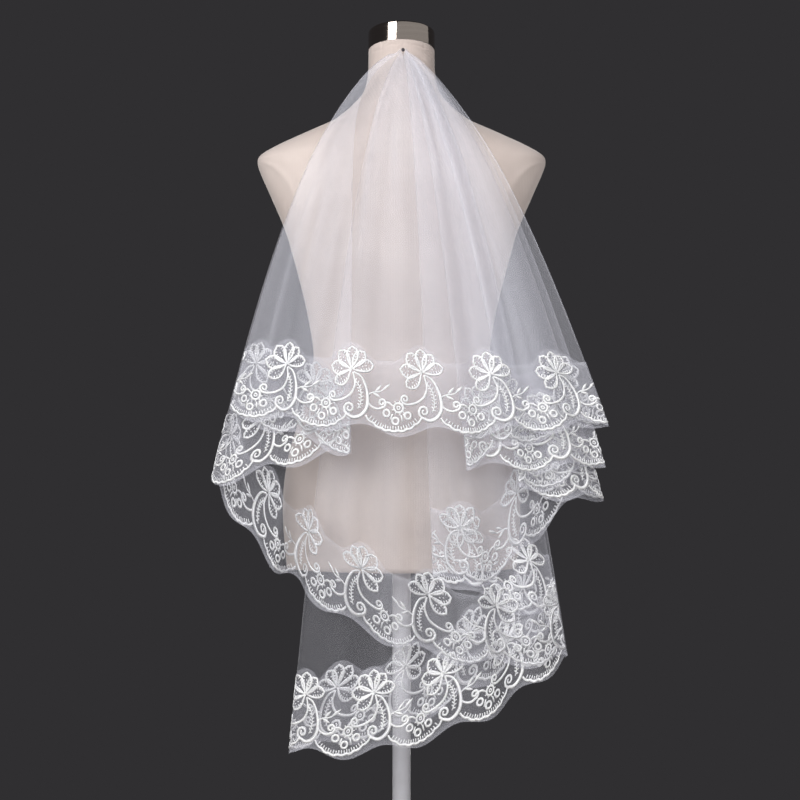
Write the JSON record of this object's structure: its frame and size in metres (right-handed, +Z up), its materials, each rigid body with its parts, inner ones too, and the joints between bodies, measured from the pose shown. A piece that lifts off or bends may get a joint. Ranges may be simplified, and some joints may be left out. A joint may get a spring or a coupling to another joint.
{
  "type": "bridal veil on a dress form",
  "caption": "Two-tier tulle bridal veil with scalloped lace edging, pinned by one point to the back of the neck of a limbless dress form on a pole stand.",
  "frame": {"origin": "centre of the underside of the base, on the floor", "axes": "+Z up along the pole, -Y towards the side of the form's back where the veil hangs, +X to the right of someone facing that side"},
  "size_m": [0.5242, 0.3747, 1.5174],
  "materials": {
    "tulle": "fine soft white net",
    "lace": "white corded embroidery on net",
    "cover": "smooth cream jersey",
    "chrome": "polished",
    "paint": "white satin paint",
    "bead": "dark gloss pin head"
  },
  "bodies": {
    "root": {"form_torso": "cover", "form_neck_cap": "chrome", "stand_pole": "paint", "stand_base": "paint", "pin": "bead", "tulle_upper_fall": "tulle", "tulle_right_fold_1": "tulle", "tulle_right_fold_2": "tulle", "tulle_right_fold_3": "tulle", "tulle_right_fold_4": "tulle", "tulle_right_fold_5": "tulle", "tulle_right_fold_6": "tulle", "tulle_lower_back": "tulle", "tulle_lower_middle": "tulle", "tulle_lower_front": "tulle", "tulle_left_fold_2": "tulle", "tulle_left_fold_1": "tulle", "lace_upper_fall": "lace", "lace_right_fold_1": "lace", "lace_right_fold_2": "lace", "lace_right_fold_3": "lace", "lace_right_fold_4": "lace", "lace_right_fold_5": "lace", "lace_right_fold_6": "lace", "lace_lower_back": "lace", "lace_lower_middle": "lace", "lace_lower_front": "lace", "lace_left_fold_2": "lace", "lace_left_fold_1": "lace"}
  },
  "joints": []
}
